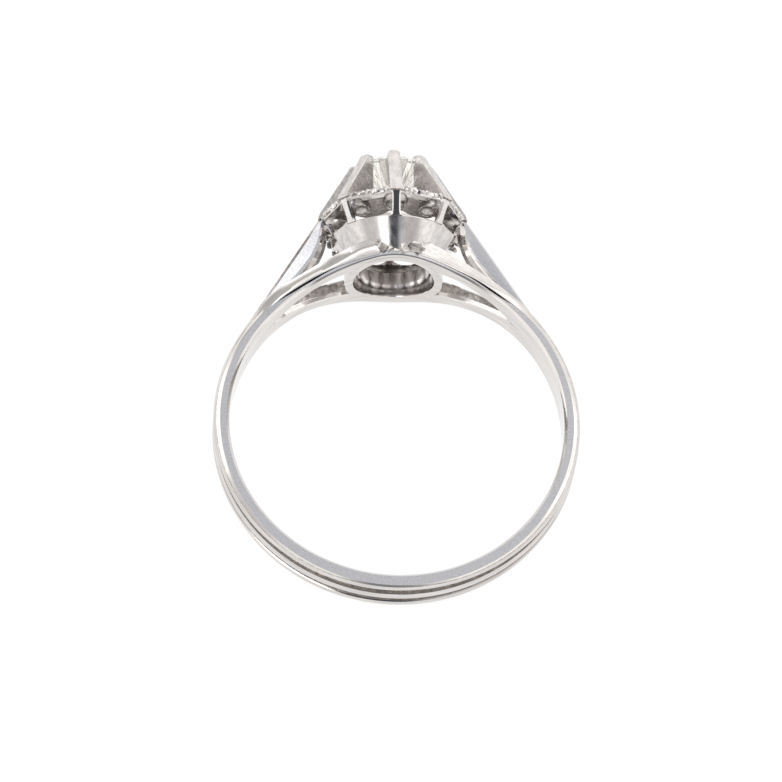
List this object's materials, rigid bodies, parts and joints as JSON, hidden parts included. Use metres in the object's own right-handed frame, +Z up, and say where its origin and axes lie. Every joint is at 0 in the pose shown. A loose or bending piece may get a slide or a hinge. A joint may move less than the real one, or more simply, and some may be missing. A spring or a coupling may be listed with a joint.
{
  "type": "solitaire ring",
  "caption": "Solitaire ring with a round stone in an eight-cornered illusion head, split shoulders and a ridged shank, lying on its side.",
  "frame": {"origin": "centre of the finger hole", "axes": "+Z up from the surface the ring lies on, +Y roughly from the finger hole towards the stone, +X across the hoop; the finger hole's axis leans 7.4 degrees from +Z towards -Y"},
  "size_m": [0.0192, 0.0251, 0.0079],
  "materials": {
    "white_gold": "polished",
    "diamond": "polished facets"
  },
  "bodies": {
    "root": {"ring_mounting": "white_gold", "diamond": "diamond"}
  },
  "joints": []
}
